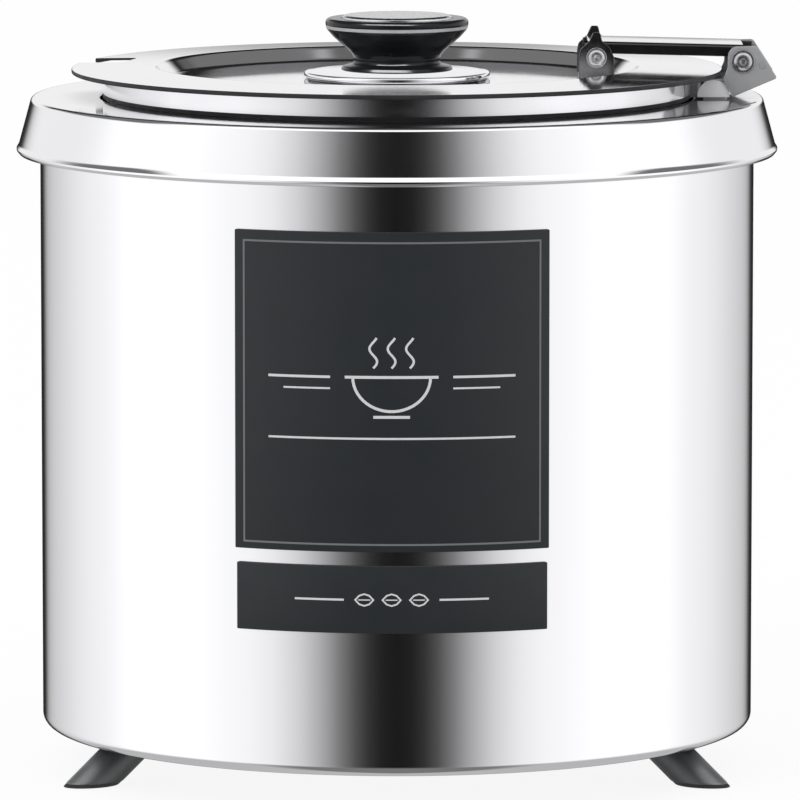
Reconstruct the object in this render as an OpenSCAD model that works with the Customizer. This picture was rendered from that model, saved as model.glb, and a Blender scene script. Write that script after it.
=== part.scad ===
// Hinged-lid soup kettle: a lift-out pot in a heated water bath, in a double-walled steel body on three feet.
// Millimetres. Z is up from the surface it stands on, the lid hinge is at +X and the controls are at +Y.

/* [Body] */
// Outside diameter of the body shell
shell_d = 323.6; // [300:0.1:330]
// Largest diameter, at the collar's lower edge
collar_d = 345; // [340:0.5:350]
// Diameter of the collar's top edge
collar_top_d = 331.4; // [326:0.1:336]
// Height of the collar's lower edge
collar_low_z = 281; // [275:0.1:290]
// Height of the collar's flat top
collar_z = 306.2; // [304:0.1:307]
// Clear height under the body
foot_h = 20; // [16:1:24]
// Thickness of the steel sheet
sheet = 1; // [0.8:0.1:1.2]

/* [Pot] */
// Outside diameter of the pot's upstanding neck
neck_d = 266.6; // [260:0.1:268]
// Outside diameter of the pot below its shoulder
pot_d = 255.4; // [240:0.1:256]
// Height of the pot's underside
pot_low_z = 101; // [96:1:120]
// Height of the pot's top edge
neck_top_z = 317.6; // [316:0.1:317.6]

/* [Lid] */
// Diameter of the lid's rim
lid_d = 295; // [285:1:296]
// Height of the lid's flat ring
lid_z = 319; // [318.6:0.1:319]
// Diameter of the recessed floor, at its foot
recess_d = 206; // [190:1:210]
// Depth of the recess below the rim
recess_depth = 5; // [3:0.5:6]
// Rise of the lid from its rim to the edge of the recess
crest_rise = 1.2; // [0:0.1:2]
// Width of the ladle notch
notch_w = 26; // [20:1:30]
// Height of the knob's top
knob_top_z = 343; // [340:1:346]
// Diameter of the knob's cap
knob_d = 64.8; // [56:0.1:70]
// Diameter of the saucer under the knob
saucer_d = 84.8; // [70:0.1:90]

/* [Hinge] */
// Distance of the hinge axis from the kettle's axis
hinge_x = 156; // [155:0.5:158]
// Height of the hinge axis
hinge_z = 323.4; // [323:0.1:324]
// Distance of the lid's own pivot from the kettle's axis
ear_x = 90; // [84:1:94]
// Height of the lid's own pivot
ear_z = 325; // [324:0.1:326]
// Width of the hinge arm
arm_w = 36; // [30:1:40]

/* [Labels] */
// Width of the large label, straight across
label_w = 137.8; // [100:0.1:160]
// Width of the narrow label, straight across
strip_w = 136.4; // [100:0.1:160]
// Height of the large label
label_h = 140.4; // [100:0.1:150]
// Height of the narrow label
strip_h = 29.7; // [20:0.1:32]
// Height of the narrow label's lower edge
strip_z = 84.1; // [80:0.1:90]
// How far both labels sit round the body from its front centre line, in degrees
label_turn = -0.8; // [-3:0.1:3]
// Gap between the two labels
label_gap = 6.2; // [5:0.1:12]

/* [Feet] */
// Angle between the front centre line and each front foot
foot_angle = 65; // [55:1:70]
// Radius at which the feet meet the floor
foot_r = 150.5; // [145:0.5:154]
// Radius at which the feet meet the body
foot_top_r = 128; // [124:1:136]
// Diameter of a foot's leg
foot_d = 17.5; // [12:0.5:18]

/* [Controls] */
// Height of the control knob's axis
dial_z = 50; // [48:1:54]
// Diameter of the control knob
dial_d = 34; // [28:1:36]
// Angle of the cable gland from the controls
gland_angle = 34; // [30:1:45]
// Bore of the cable gland
gland_bore = 8; // [7:0.5:9]

/* [Hidden] */

$fn = 180;
eps = 1;                                   // overshoot of a cutting solid
shell_r = shell_d / 2;
collar_r = collar_d / 2;
collar_top_r = collar_top_d / 2;
neck_r = neck_d / 2;
pot_r = pot_d / 2;
lid_r = lid_d / 2;
corner_r = 5;                              // bottom corner of the shell
shell_flange_r = 150;                      // inner edge of the shell's turned-in foot
shell_top_z = collar_z - 8;
pan_top_z = 76;                            // seam between the base pan and the shell
cover_z = foot_h + sheet;                  // underside of the base cover
cover_t = 1.4;
cover_r = shell_r - corner_r;
throat_r = neck_r + 1.2;                   // the collar's opening
seat_z = 298;                              // ledge that carries the pot
seat_r = neck_r - 4;
shoulder_z = seat_z + 0.3;
well_r = 141;
well_z = 78;                               // underside of the well
well_rim_z = seat_z + 2;
plate_t = 4;
plate_z = well_z - plate_t;
plate_r = 104;
stud_r = 60;                               // circle of the studs that hold the heat plate
element_tube_r = 4;
element_r = 84;
element_z = plate_z - element_tube_r;
lid_under_z = lid_z - sheet;
hem = 2;                                   // thickness and depth of the lid's hemmed rim
recess_r = recess_d / 2;
recess_z = lid_z - recess_depth;           // top of the recessed floor
crest_r = recess_r + 6;
ring_r = neck_r - 11;                      // locating ring under the lid
notch_angle = 165;
notch_in = 126;                            // radius of the notch's inner edge
arm_drop = atan2(ear_z - hinge_z, hinge_x - ear_x);
arm_len = norm([hinge_x - ear_x, ear_z - hinge_z]);
arm_t = 1.6;
arm_top = 7.2;                             // top of the arm above its pivots
arm_skirt = 1.8;                           // lower edge of the arm's sides above its pivots
arm_lobe = 5.5;
pin_r = 2.5;
pin_fit = 0.06;                            // radial running clearance
cheek_t = 2;
cheek_gap = 1;                             // from the arm's side to a cheek
cheek_y = arm_w / 2 + cheek_gap;           // inner face of a cheek
ear_t = 1.6;
ear_y = arm_w / 2 + 0.8;                   // inner face of an ear
saddle_x = neck_r + 2.2;                   // outer face of the saddle
saddle_z = [collar_z + 0.8, 315.5];
saddle_screw_y = 11;
saddle_screw_z = 310.6;
label_r = shell_r + 0.3;
label_t = 1;
main_z = strip_z + strip_h + label_gap;
foot_az = [-90 - foot_angle, -90 + foot_angle, 90];
pad_t = 1.5;
foot_lean = atan2(foot_r - foot_top_r, cover_z - pad_t);
gland_az = 90 + gland_angle;
gland_z = 48;
lamp_az = 90 - 11.5;
steel = "silver";
dark = "dimgray";

// Solids used by several parts

module tube(r_in, r_out, z0, z1) {
    translate([0, 0, z0])
        difference() {
            cylinder(r = r_out, h = z1 - z0);
            translate([0, 0, -eps]) cylinder(r = r_in, h = z1 - z0 + 2 * eps);
        }
}

module round_corner_profile(r, h, c) {
    square([r - c, h]);
    translate([0, c]) square([r, h - c]);
    translate([r - c, c]) circle(c);
}

// A pressed cup of radius r, with wall t, standing from z0 to z1
module cup(r, z0, z1, c, t) {
    translate([0, 0, z0])
        rotate_extrude()
            difference() {
                intersection() {
                    round_corner_profile(r, z1 - z0, c);
                    square([r, z1 - z0]);
                }
                intersection() {
                    translate([0, t]) round_corner_profile(r - t, z1 - z0, c - t);
                    square([r, z1 - z0 + eps]);
                }
            }
}

module along_y(r, y0, y1) {
    translate([0, y0, 0]) rotate([-90, 0, 0]) cylinder(r = r, h = y1 - y0);
}

module along_x(r, x0, x1) {
    translate([x0, 0, 0]) rotate([0, 90, 0]) cylinder(r = r, h = x1 - x0);
}

module at_feet() {
    for (az = foot_az) rotate([0, 0, az]) children();
}

// Body

module outer_shell() {
    color(steel) tube(shell_r - sheet, shell_r, pan_top_z, shell_top_z);
}

module base_pan() {
    color(steel)
        difference() {
            cup(shell_r, foot_h, pan_top_z, corner_r, sheet);
            translate([0, 0, foot_h - eps]) cylinder(r = shell_flange_r, h = sheet + 2 * eps);
            translate([0, shell_r, dial_z]) along_y(5, -20, 20);
            rotate([0, 0, lamp_az]) translate([0, 0, dial_z]) along_x(4.2, shell_r - 20, shell_r + 20);
            rotate([0, 0, gland_az]) translate([0, 0, gland_z]) along_x(6.2, shell_r - 20, shell_r + 20);
        }
}

vents = 8;

module base_cover() {
    color(steel)
        difference() {
            translate([0, 0, cover_z]) cylinder(r = cover_r, h = cover_t);
            for (i = [0:vents - 1])
                rotate([0, 0, i * 360 / vents])
                    translate([40, -2.5, cover_z - eps]) cube([44, 5, cover_t + 2 * eps]);
            at_feet() translate([foot_top_r, 0, cover_z - eps]) cylinder(r = 2.2, h = cover_t + 2 * eps);
        }
}

module base_screws() {
    color(dark)
        for (az = [15, 55, 125, 165])
            rotate([0, 0, az]) translate([153.5, 0, foot_h - 2]) cylinder(r = 3.5, h = 2);
}

module collar_ring() {
    bead = 4.4;
    color(steel)
        rotate_extrude()
            polygon([
                [throat_r, collar_z], [collar_top_r - 0.8, collar_z], [collar_top_r, collar_z - 0.8],
                [collar_r - 1.8, collar_low_z + bead + 0.6], [collar_r - 0.4, collar_low_z + bead - 0.4],
                [collar_r, collar_low_z + bead - 1.4], [collar_r, collar_low_z + 1.2],
                [collar_r - 1, collar_low_z], [collar_r - 2.4, collar_low_z],
                [collar_r - 3, collar_low_z + bead], [collar_top_r - sheet, collar_z - sheet],
                [throat_r + sheet, collar_z - sheet], [throat_r + sheet, seat_z - sheet],
                [seat_r, seat_z - sheet], [seat_r, seat_z], [throat_r, seat_z]
            ]);
}

module water_well() {
    color(steel) {
        difference() {
            union() {
                cup(well_r, well_z, well_rim_z, 12, sheet);
                tube(well_r - 0.5, shell_r - 3, well_rim_z - sheet, well_rim_z);
            }
            for (a = [45:90:315])
                rotate([0, 0, a]) translate([stud_r, 0, well_z - eps]) cylinder(r = 1, h = 0.5);
        }
    }
}

module insulation() {
    color("khaki") tube(well_r + 0.5, shell_r - sheet - 0.5, 86, well_rim_z - 12);
}

// Feet

module foot() {
    color("black")
        intersection() {
            union() {
                translate([foot_r, 0, pad_t])
                    rotate([0, -foot_lean, 0])
                        translate([0, 0, -20]) cylinder(d = foot_d, h = 60);
                translate([foot_top_r, 0, cover_z - 3]) cylinder(r = 13, h = 3);
            }
            translate([foot_top_r - 40, -30, pad_t]) cube([90, 60, cover_z - pad_t]);
        }
}

module foot_front_left() { rotate([0, 0, foot_az[0]]) foot(); }
module foot_front_right() { rotate([0, 0, foot_az[1]]) foot(); }
module foot_rear() { rotate([0, 0, foot_az[2]]) foot(); }

module foot_pads() {
    color("black")
        at_feet()
            intersection() {
                translate([foot_r, 0, pad_t])
                    rotate([0, -foot_lean, 0])
                        translate([0, 0, -30]) cylinder(d = foot_d - 0.6, h = 60);
                translate([foot_top_r - 40, -30, 0]) cube([90, 60, pad_t]);
            }
}

module foot_screws() {
    color(dark)
        at_feet() translate([foot_top_r, 0, cover_z + cover_t]) {
            cylinder(r = 4, h = 2.4);
            translate([0, 0, -cover_t]) cylinder(r = 2, h = cover_t + eps);
        }
}

// Heating and controls

module heat_plate() {
    color("gainsboro")
        difference() {
            translate([0, 0, plate_z]) cylinder(r = plate_r, h = plate_t);
            for (a = [45:90:315])
                rotate([0, 0, a])
                    translate([stud_r, 0, plate_z - eps]) cylinder(r = 2.2, h = plate_t - 0.8 + eps);
        }
}

module heating_element() {
    color(dark) {
        translate([0, 0, element_z])
            rotate([0, 0, -80])
                rotate_extrude(angle = 340) translate([element_r, 0]) circle(element_tube_r);
        for (a = [-80, 260])
            rotate([0, 0, a]) translate([element_r, 0, element_z - 20]) cylinder(r = element_tube_r, h = 20);
    }
}

module element_clamp() {
    z = element_z - element_tube_r - 2;
    color("gray")
        difference() {
            union() {
                translate([0, 0, z]) cylinder(r = 22, h = 2);
                for (a = [45, 135])
                    rotate([0, 0, a]) translate([-element_r - 12, -8, z]) cube([2 * element_r + 24, 16, 2]);
            }
            translate([0, 0, z - eps]) cylinder(r = 9, h = 2 + 2 * eps);
            for (a = [45:90:315])
                rotate([0, 0, a]) translate([stud_r, 0, z - eps]) cylinder(r = 2.2, h = 2 + 2 * eps);
        }
}

module plate_nuts() {
    z = element_z - element_tube_r - 2;
    color("goldenrod")
        for (a = [45:90:315])
            rotate([0, 0, a])
                translate([stud_r, 0, 0]) {
                    translate([0, 0, z - 6]) cylinder(r = 2, h = plate_z + 3 - z + 6);
                    translate([0, 0, z - 3.2]) cylinder(r = 4, h = 3.2, $fn = 6);
                }
}

module thermostat_body() {
    color("ivory")
        difference() {
            translate([-22, 122, dial_z - 17]) cube([44, 28, 34]);
            translate([0, 0, dial_z]) along_y(3 + pin_fit, 140, 151);
        }
}

module thermostat_shaft() {
    color("silver") translate([0, 0, dial_z]) along_y(3, 141, 166);
}

module thermostat_bulb() {
    color("goldenrod")
        translate([30, -30, plate_z - 3.4])
            rotate([0, 0, 30]) rotate([0, 90, 0]) cylinder(r = 3, h = 50, center = true);
}

module thermal_cutout() {
    color("black")
        translate([0, 0, plate_z - 11]) {
            cylinder(r = 8, h = 11);
            translate([-16, -4, 10]) cube([32, 8, 1]);
        }
}

module terminal_block() {
    color("ivory")
        difference() {
            translate([-108, 44, cover_z + cover_t]) cube([44, 20, 18]);
            for (i = [0:2])
                translate([-101 + i * 14.5, 54, cover_z + cover_t + 10]) cylinder(r = 2.5, h = 9);
        }
}

module earth_stud() {
    color("goldenrod")
        translate([-60, 96, cover_z + cover_t]) {
            cylinder(r = 2.5, h = 16);
            cylinder(r = 4.6, h = 4, $fn = 6);
        }
}

module control_plate() {
    half = 17;
    color(steel)
        difference() {
            rotate([0, 0, 90 - half])
                rotate_extrude(angle = 2 * half) translate([shell_r, dial_z - 24]) square([1, 48]);
            translate([0, 0, dial_z]) along_y(5, 140, 180);
            rotate([0, 0, lamp_az]) translate([0, 0, dial_z]) along_x(4.2, 140, 180);
        }
}

module control_knob() {
    color("black")
        translate([0, 0, dial_z])
            difference() {
                union() {
                    along_y(dial_d / 2, shell_r + 1.4, shell_r + 4);
                    along_y(dial_d / 2 - 3, shell_r + 3, collar_r - 0.4);
                }
                along_y(3, shell_r, 166.01);
                translate([-1, collar_r - 1.2, 0]) cube([2, 2, dial_d / 2]);
            }
}

module lamp_body() {
    color("black")
        rotate([0, 0, lamp_az]) translate([0, 0, dial_z]) along_x(4, shell_r - 18, shell_r + 0.9);
}

module lamp_lens() {
    color("orange")
        rotate([0, 0, lamp_az]) translate([0, 0, dial_z]) {
            along_x(5.5, shell_r + 1.1, shell_r + 3);
            translate([shell_r + 3, 0, 0])
                intersection() {
                    sphere(4);
                    translate([0, -5, -5]) cube([10, 10, 10]);
                }
        }
}

gland_in = 148;
gland_out = shell_r + 9.5;

module cable_gland() {
    color("black")
        rotate([0, 0, gland_az])
            translate([0, 0, gland_z])
                difference() {
                    union() {
                        along_x(6, gland_in, gland_out);
                        along_x(9, shell_r + 0.6, gland_out - 2.5);
                    }
                    along_x(gland_bore / 2, gland_in - eps, gland_out + eps);
                }
}

module gland_nut() {
    color("black")
        rotate([0, 0, gland_az])
            translate([0, 0, gland_z])
                difference() {
                    translate([shell_r - 6.5, 0, 0]) rotate([0, 90, 0]) cylinder(r = 10, h = 4.5, $fn = 6);
                    along_x(6.1, gland_in, gland_out);
                }
}

// Labels

module curved_label(w, z, h) {
    half = asin(w / 2 / (label_r + label_t));
    rotate([0, 0, -90 + label_turn - half])
        rotate_extrude(angle = 2 * half) translate([label_r, z]) square([label_t, h]);
}

module main_label() { color("darkslategray") curved_label(label_w, main_z, label_h); }
module strip_label() { color("darkslategray") curved_label(strip_w, strip_z, strip_h); }

// Pot and the fixed half of the hinge

module inner_pot() {
    c = 18;
    color(steel)
        difference() {
            union() {
                cup(pot_r, pot_low_z, shoulder_z + sheet, c, sheet);
                tube(pot_r - sheet, neck_r, shoulder_z, shoulder_z + sheet);
                tube(neck_r - sheet, neck_r, shoulder_z, neck_top_z);
            }
            for (s = [-1, 1])
                translate([0, s * saddle_screw_y, saddle_screw_z]) along_x(2.1, neck_r - 8, neck_r + 8);
        }
}

module hinge_saddle() {
    color("gray")
        difference() {
            translate([neck_r - 2, -cheek_y, saddle_z[0]])
                cube([saddle_x - neck_r + 2, 2 * cheek_y, saddle_z[1] - saddle_z[0]]);
            cylinder(r = neck_r, h = knob_top_z, $fn = 720);
            for (s = [-1, 1])
                translate([0, s * saddle_screw_y, saddle_screw_z]) along_x(2.1, neck_r - 8, neck_r + 8);
        }
}

module cheek_outline() {
    difference() {
        union() {
            polygon([
                [hinge_x, hinge_z + 7], [hinge_x + 6, hinge_z + 6.6], [hinge_x + 15.6, hinge_z - 7.6],
                [hinge_x - 4.7, hinge_z - 16.2], [hinge_x - 9.1, hinge_z - 8.4], [hinge_x - 6.9, hinge_z - 3],
                [hinge_x - 7, hinge_z]
            ]);
            translate([hinge_x, hinge_z]) circle(7);
        }
        translate([hinge_x, hinge_z]) circle(pin_r);
        translate([stop_x, stop_z]) circle(1.5);
    }
}

stop_x = hinge_x + 8.8;
stop_z = hinge_z - 1.9;

module hinge_bracket() {
    web_t = 1.6;
    width = 2 * cheek_y + 1;
    back_h = saddle_z[1] - saddle_z[0];
    end_r = 7.3;
    color("gray")
        difference() {
            union() {
                for (s = [-1, 1])
                    translate([0, s * (cheek_y + cheek_t / 2) + cheek_t / 2, 0])
                        rotate([90, 0, 0]) linear_extrude(cheek_t) cheek_outline();
                translate([saddle_x, -width / 2, saddle_z[1] - web_t]) cube([17, width, web_t]);
                translate([saddle_x, -width / 2, saddle_z[0]]) cube([web_t, width, back_h]);
                for (s = [-1, 1])
                    translate([saddle_x + end_r, s * (width - web_t) / 2 + web_t / 2, saddle_z[0]])
                        rotate([90, 0, 0])
                            linear_extrude(web_t)
                                intersection() {
                                    translate([0, 0.6]) circle(end_r);
                                    translate([-end_r, 0]) square([2 * end_r, back_h]);
                                }
            }
            for (s = [-1, 1])
                translate([0, s * saddle_screw_y, saddle_screw_z]) along_x(2.1, neck_r - 8, neck_r + 12);
        }
}

module saddle_screws() {
    color(dark)
        for (s = [-1, 1])
            translate([0, s * saddle_screw_y, saddle_screw_z]) {
                along_x(2, neck_r - 4, saddle_x + 3);
                along_x(2.7, saddle_x + 1.6, saddle_x + 3.8);
                along_x(3.2, neck_r - 4.6, neck_r - 1.8);
            }
}

module hinge_pin() {
    y = cheek_y + cheek_t;
    color(steel)
        translate([hinge_x, 0, hinge_z]) {
            along_y(pin_r, -y - 1, y + 1);
            along_y(4.2, -y - 2.6, -y - 0.8);
            along_y(4.2, y + 0.8, y + 2.6);
        }
}

module hinge_washers() {
    color("gainsboro")
        translate([hinge_x, 0, hinge_z])
            for (y = [-cheek_y - cheek_t - 0.8, cheek_y + cheek_t])
                difference() {
                    along_y(5.2, y, y + 0.8);
                    along_y(pin_r, y - eps, y + 2);
                }
}

module stop_pin() {
    y = cheek_y + cheek_t;
    color(steel) translate([stop_x, 0, stop_z]) along_y(1.5, -y - 0.4, y + 0.4);
}

// Arm between the hinge and the lid's pivot, drawn with the hinge axis at its origin

module arm_side_outline() {
    difference() {
        union() {
            translate([-arm_len - 4, arm_skirt]) square([arm_len + 4, arm_top - arm_skirt]);
            circle(arm_lobe);
            translate([-arm_len, 0]) circle(arm_lobe);
        }
        circle(pin_r + pin_fit);
        translate([-arm_len, 0]) circle(pin_r + pin_fit);
    }
}

module hinge_arm() {
    color("lightgray")
        translate([hinge_x, 0, hinge_z])
            rotate([0, arm_drop, 0]) {
                for (y = [-arm_w / 2 + arm_t, arm_w / 2])
                    translate([0, y, 0]) rotate([90, 0, 0]) linear_extrude(arm_t) arm_side_outline();
                translate([-arm_len - 4, -arm_w / 2 + 0.5, arm_top - arm_t])
                    cube([arm_len + 4, arm_w - 1, arm_t]);
            }
}

// Lid

module lid_shell() {
    color(steel)
        difference() {
            rotate_extrude()
                polygon([
                    [0, recess_z], [recess_r, recess_z], [crest_r, lid_z + crest_rise], [lid_r - 0.6, lid_z],
                    [lid_r, lid_z - 0.6], [lid_r, lid_z - hem], [lid_r - hem, lid_z - hem],
                    [lid_r - hem, lid_under_z], [crest_r + 0.4, lid_under_z + crest_rise],
                    [recess_r + 0.6, recess_z - sheet], [0, recess_z - sheet]
                ]);
            rotate([0, 0, notch_angle])
                translate([notch_in, -notch_w / 2, lid_z - 6]) cube([lid_r, notch_w, 12]);
            translate([0, 0, recess_z - 5]) cylinder(r = 3.1, h = 10);
        }
}

function lid_under_at(r) = lid_under_z + crest_rise * (lid_r - hem - r) / (lid_r - hem - crest_r - 0.4);

module locating_ring() {
    color(steel)
        difference() {
            tube(ring_r - sheet, ring_r, lid_under_z - 10, lid_under_at(ring_r));
            rotate([0, 0, notch_angle])
                translate([ring_r - 20, -notch_w / 2, lid_under_z - 11]) cube([40, notch_w, 14]);
        }
}

module ear_outline() {
    difference() {
        translate([ear_x, recess_z])
            polygon([
                [-8, 0], [8, 0], [8, 11], [6.2, 15.5], [2.6, 18.6], [1.6, 22.5], [-1.6, 22.5], [-3.4, 18.4],
                [-7.4, 14.5], [-8, 11]
            ]);
        translate([ear_x, ear_z]) circle(pin_r);
    }
}

rivet_x = [ear_x - 5, ear_x + 5];
rivet_y = [-10, 10];

module ear_bracket() {
    color("gray")
        difference() {
            union() {
                for (y = [-ear_y, ear_y + ear_t])
                    translate([0, y, 0]) rotate([90, 0, 0]) linear_extrude(ear_t) ear_outline();
                translate([ear_x - 8, -ear_y - 0.5, recess_z]) cube([16, 2 * ear_y + 1, ear_t]);
            }
            for (x = rivet_x, y = rivet_y)
                translate([x, y, recess_z - eps]) cylinder(r = 1.6, h = 4);
        }
}

module ear_rivets() {
    color("gainsboro")
        for (x = rivet_x, y = rivet_y)
            translate([x, y, recess_z]) {
                cylinder(r = 1.6, h = ear_t);
                translate([0, 0, ear_t]) cylinder(r = 2.6, h = 1);
            }
}

module ear_pin() {
    y = ear_y + ear_t;
    color(steel)
        translate([ear_x, 0, ear_z]) {
            along_y(pin_r, -y - 1, y + 1);
            along_y(3.8, -y - 2.4, -y - 0.6);
            along_y(3.8, y + 0.6, y + 2.4);
        }
}

module ear_washers() {
    color("gainsboro")
        translate([ear_x, 0, ear_z])
            for (y = [-ear_y - ear_t - 0.6, ear_y + ear_t])
                difference() {
                    along_y(4.6, y, y + 0.6);
                    along_y(pin_r, y - eps, y + 2);
                }
}

// Knob

saucer_z = recess_z + 4;                   // top of the saucer
cap_low_z = knob_top_z - 7;
knob_r = knob_d / 2;
inlay_z = knob_top_z - 1.4;

module knob_saucer() {
    r = saucer_d / 2;
    color("whitesmoke")
        rotate_extrude()
            polygon([
                [3.1, recess_z], [r - 2.4, recess_z], [r - 0.6, recess_z + 0.8], [r, recess_z + 1.9],
                [r - 0.5, recess_z + 3.1], [r - 1.8, saucer_z - 0.3], [r - 5, saucer_z - 0.4],
                [26.5, saucer_z], [3.1, saucer_z]
            ]);
}

module knob_body() {
    waist_r = 19.6;
    color("black")
        difference() {
            rotate_extrude()
                polygon([
                    [0, saucer_z], [25.5, saucer_z], [24.6, saucer_z + 1.6], [waist_r + 0.5, saucer_z + 3],
                    [waist_r, saucer_z + 4], [waist_r, saucer_z + 5.6], [waist_r + 0.9, saucer_z + 7.4],
                    [22.2, saucer_z + 9.3], [25.4, saucer_z + 12], [28.9, saucer_z + 15.2],
                    [knob_r - 1.2, cap_low_z - 0.2], [knob_r - 0.3, cap_low_z + 1.2],
                    [knob_r, cap_low_z + 2], [knob_r, cap_low_z + 4],
                    [knob_r - 0.6, inlay_z - 0.4], [knob_r - 1.6, inlay_z], [0, inlay_z]
                ]);
            translate([0, 0, saucer_z - eps]) cylinder(r = 3, h = 12 + eps);
        }
}

module knob_inlay() {
    color("gainsboro")
        translate([0, 0, inlay_z]) cylinder(r1 = 25, r2 = 23.6, h = knob_top_z - inlay_z);
}

module knob_stud() {
    color("goldenrod") translate([0, 0, recess_z - 8]) cylinder(r = 3, h = 8 + 4 + 12);
}

module knob_nut() {
    color("silver")
        difference() {
            union() {
                translate([0, 0, recess_z - sheet - 1.2]) cylinder(r = 9, h = 1.2);
                translate([0, 0, recess_z - sheet - 6.2]) cylinder(r = 5.8, h = 5, $fn = 6);
            }
            translate([0, 0, recess_z - 12]) cylinder(r = 3, h = 20);
        }
}

outer_shell();
base_pan();
base_cover();
base_screws();
collar_ring();
water_well();
insulation();
foot_front_left();
foot_front_right();
foot_rear();
foot_pads();
foot_screws();
heat_plate();
heating_element();
element_clamp();
plate_nuts();
thermostat_body();
thermostat_bulb();
thermal_cutout();
terminal_block();
earth_stud();
control_plate();
control_knob();
thermostat_shaft();
lamp_body();
lamp_lens();
cable_gland();
gland_nut();
main_label();
strip_label();
inner_pot();
hinge_saddle();
hinge_bracket();
saddle_screws();
hinge_pin();
hinge_washers();
stop_pin();
hinge_arm();
lid_shell();
locating_ring();
ear_bracket();
ear_rivets();
ear_pin();
ear_washers();
knob_saucer();
knob_body();
knob_inlay();
knob_stud();
knob_nut();
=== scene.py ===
import math

import bmesh
import bpy
from mathutils import Matrix, Vector


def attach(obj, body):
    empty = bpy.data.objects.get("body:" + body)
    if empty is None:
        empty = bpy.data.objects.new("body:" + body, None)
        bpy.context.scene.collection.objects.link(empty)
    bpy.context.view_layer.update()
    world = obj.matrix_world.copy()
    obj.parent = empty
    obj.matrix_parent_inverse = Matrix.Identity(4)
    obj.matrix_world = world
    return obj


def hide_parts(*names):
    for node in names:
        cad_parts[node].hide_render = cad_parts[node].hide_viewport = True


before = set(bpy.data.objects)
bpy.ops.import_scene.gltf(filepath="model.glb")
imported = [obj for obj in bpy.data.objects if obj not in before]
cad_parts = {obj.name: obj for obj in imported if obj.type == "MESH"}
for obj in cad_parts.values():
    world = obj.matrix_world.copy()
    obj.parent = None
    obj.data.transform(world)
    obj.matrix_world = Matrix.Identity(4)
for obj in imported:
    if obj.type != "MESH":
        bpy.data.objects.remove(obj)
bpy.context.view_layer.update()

MM = 0.001
FULL_TURN = 2 * math.pi
SEGMENTS = 256                     # steps around a full turn
SHARP = math.radians(28)           # edges folded more than this stay crisp
Z = Vector((0, 0, 1))

# Sizes shared by several pieces, in millimetres
SHELL_R = 161.8
WALL = 1.0                         # thickness of the body's and the collar's sheet
BODY_Z = 20.0                      # underside of the body
BODY_TOP = 298.2
COLLAR_Z = 306.2                   # flat top of the collar
COLLAR_FOOT = 281.0                # lower edge of the collar
NECK_R = 133.3
SHADOW_BAND_TOP = 308.1                 # top of the painted shadow band round the neck, above the collar
NECK_TOP = 317.6
LID_R = 147.5
LID_Z = 319.0
RECESS_Z = 314.0
RECESS_R = 103.0
CREST_R = 109.0
CREST_Z = 320.2
STUD_HOLE = 3.1                    # radius of the knob stud's hole in lid and saucer
HINGE = (156.0, 323.4)             # x and z of the hinge pin
EAR = (90.0, 325.0)                # x and z of the pin in the lid's ears
HINGE_SHEET = 1.6                  # thickness of the ears' and the bracket's sheet
FOOT_AZIMUTHS = {"front_left": -155, "front_right": -25, "rear": 90}
NOTCH_AZIMUTH = 165
NOTCH_R = 126.0                    # inner edge of the ladle notch
NOTCH_HALF = 13.0                  # half of its width
LABEL_BACK = 162.15                # inner radius of the labels
LABEL_FACE = 163.1                 # outer radius of the labels
LABEL_CORNER = 0.6
LABEL_AZIMUTH = -90.8
PANEL_FACE = 162.8                 # outer radius of the control plate
DIAL_Z = 50.0                      # height of dial and lamp
DIAL_HOLE = (90, DIAL_Z, 5.0)      # azimuth, height and radius of a hole in the body's wall
LAMP_HOLE = (78.5, DIAL_Z, 4.2)
GLAND_HOLE = (124, 48.0, 6.2)


# ---------------------------------------------------------------- materials

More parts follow.
